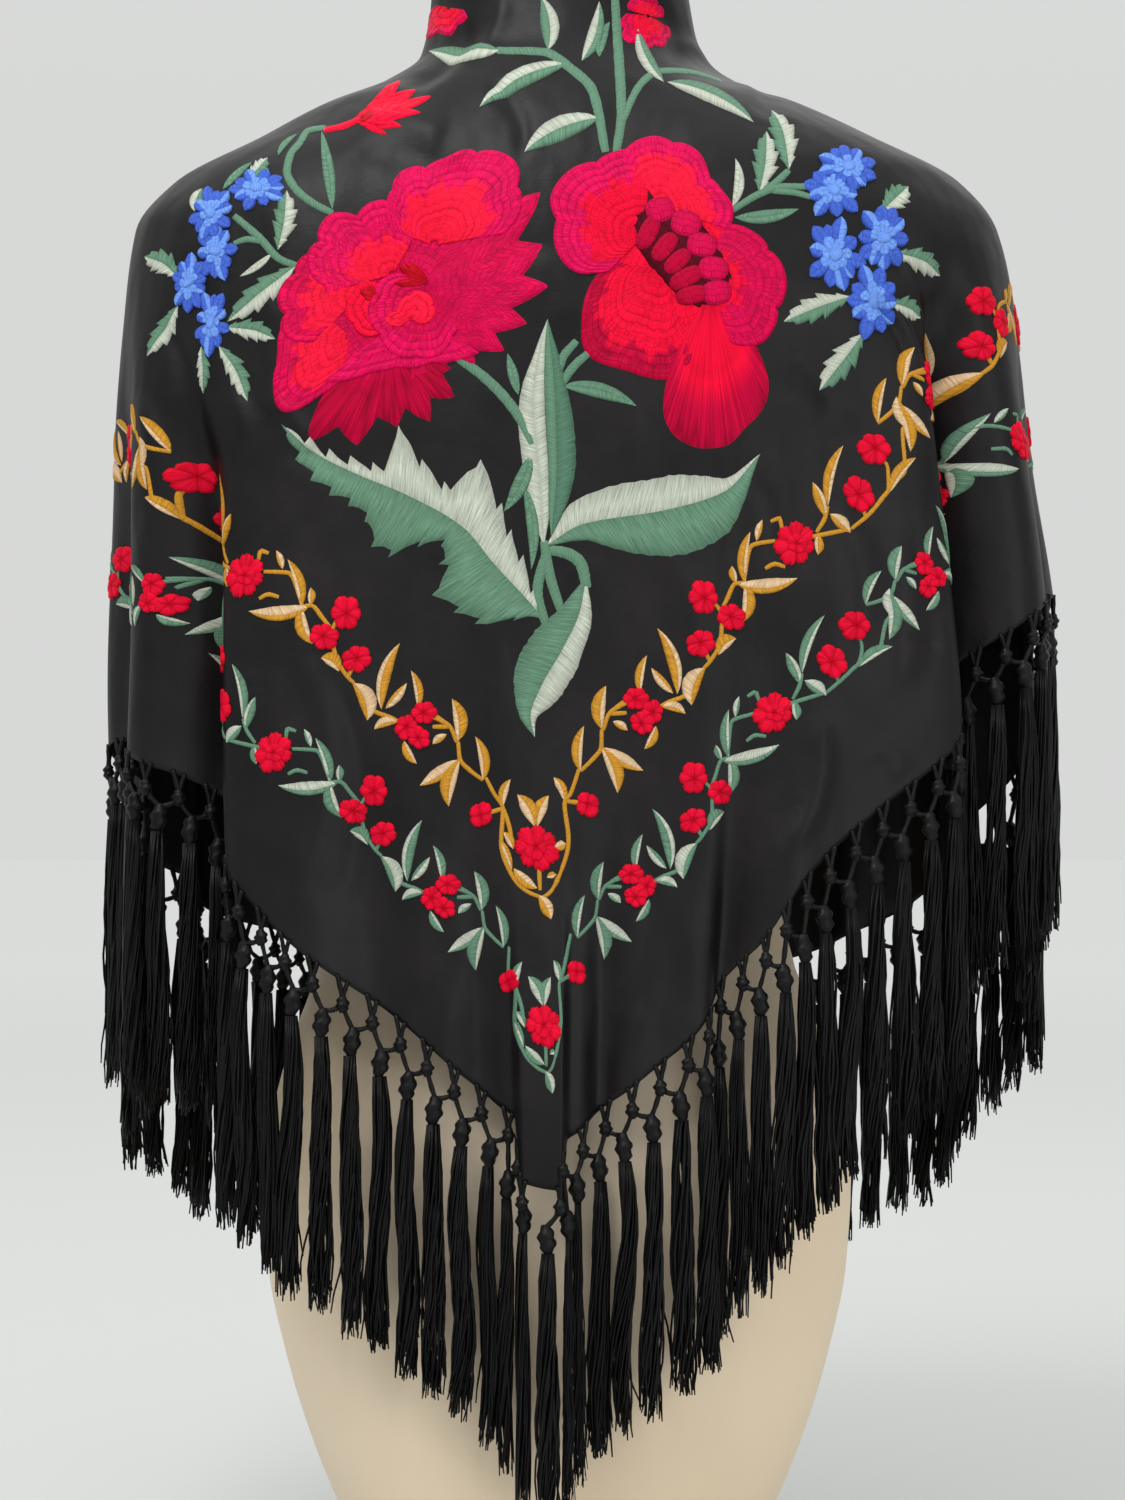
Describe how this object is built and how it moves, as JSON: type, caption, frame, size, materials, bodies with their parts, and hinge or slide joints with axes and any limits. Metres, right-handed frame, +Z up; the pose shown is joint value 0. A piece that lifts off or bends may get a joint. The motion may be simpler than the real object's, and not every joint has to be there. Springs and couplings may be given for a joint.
{
  "type": "flamenco shawl on a limbless dress form",
  "caption": "Triangular embroidered shawl with a knotted net fringe, worn cape-like round the shoulders of a limbless dress form, seen from behind.",
  "frame": {"origin": "middle of the dress form's flat underside, where it stands", "axes": "+Z up; the displayed back of the shawl faces -Y and the open front edges hang at +Y; +X is to the right as seen from behind"},
  "size_m": [0.551, 0.3039, 0.962],
  "materials": {
    "shawl_cloth": "black crepe with a soft satin sheen, embroidered in padded satin stitch",
    "fringe_cord": "black silky twisted cord, knotted by hand into a net and left loose as tassels",
    "form_shell": "smooth matt warm beige shell"
  },
  "bodies": {
    "root": {"dress_form": "form_shell", "shawl_cloth": "shawl_cloth", "fringe_left": "fringe_cord", "fringe_right": "fringe_cord"}
  },
  "joints": []
}
